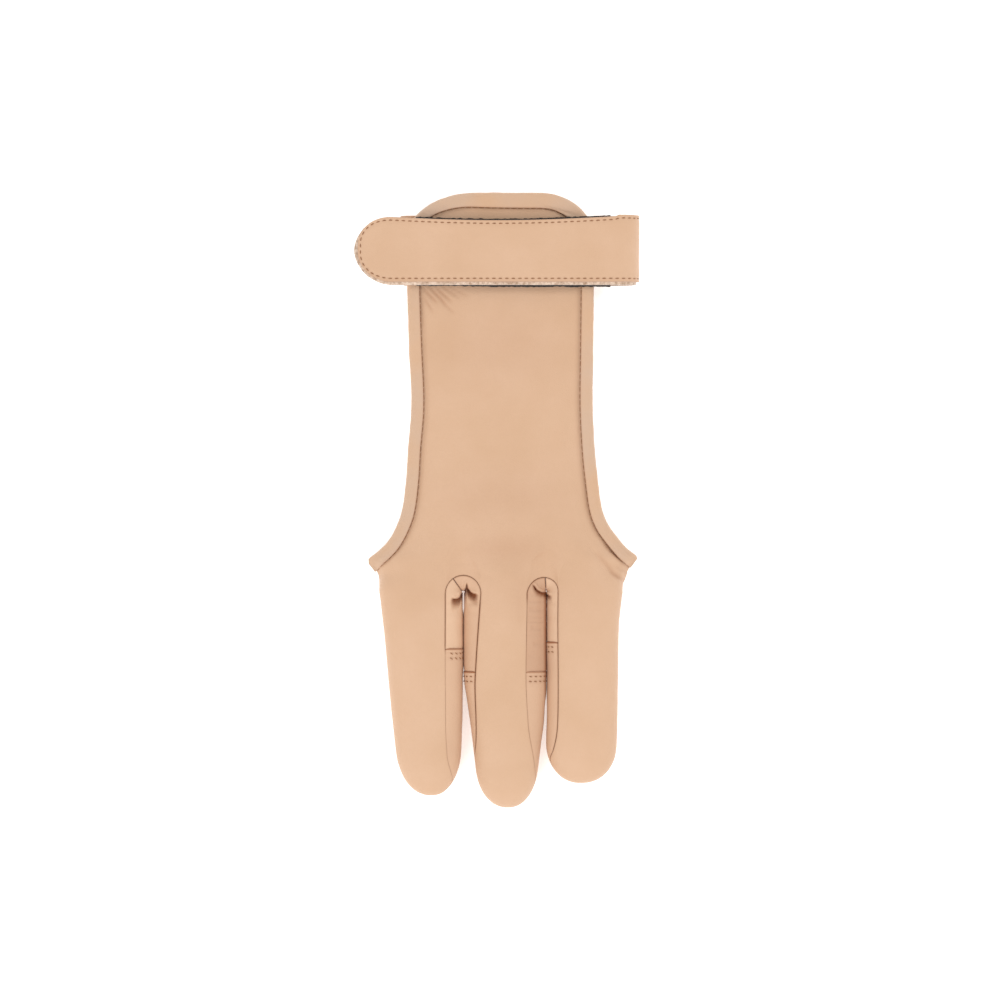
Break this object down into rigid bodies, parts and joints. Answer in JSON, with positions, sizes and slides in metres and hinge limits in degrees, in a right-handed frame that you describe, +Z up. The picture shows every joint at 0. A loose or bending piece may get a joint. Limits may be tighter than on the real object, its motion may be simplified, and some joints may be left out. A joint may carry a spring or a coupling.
{
  "type": "archery glove",
  "caption": "Shooting glove with hollow leather fingers, an open palm, a bound back panel and a hook-and-loop wrist strap.",
  "frame": {"origin": "middle of the glove's footprint, on the surface that it lies on", "axes": "+X across the hand towards the index finger, +Y from the fingertips towards the wrist, +Z up out of the back of the hand"},
  "size_m": [0.1054, 0.2278, 0.0155],
  "materials": {
    "back_leather": "pale tan full-grain glove leather, fine grain, soft satin",
    "palm_leather": "pale tan full-grain glove leather, fine grain, soft satin",
    "gusset_leather": "pale tan glove leather, slightly darker side strips",
    "tip_leather": "pale tan reinforcing leather, smooth",
    "binding_leather": "thin folded tan leather binding",
    "strap_leather": "pale tan strap leather, smooth",
    "strap_felt": "felted cream backing with a raw fuzzy edge",
    "hook_tape": "black woven tape with a field of small hooks",
    "loop_tape": "black woven tape with soft loops",
    "thread": "brown bonded sewing thread"
  },
  "bodies": {
    "root": {"back_panel": "back_leather", "palm_leather": "palm_leather", "ring_gusset": "gusset_leather", "middle_gusset_ring_side": "gusset_leather", "middle_gusset_index_side": "gusset_leather", "index_gusset": "gusset_leather", "ring_tip": "tip_leather", "middle_tip": "tip_leather", "index_tip": "tip_leather", "side_binding_left": "binding_leather", "side_binding_right": "binding_leather", "wrist_hem": "binding_leather", "palm_hem": "binding_leather", "strap_face": "strap_leather", "strap_backing": "strap_felt", "hook_tape": "hook_tape", "loop_tape": "loop_tape"}
  },
  "joints": []
}
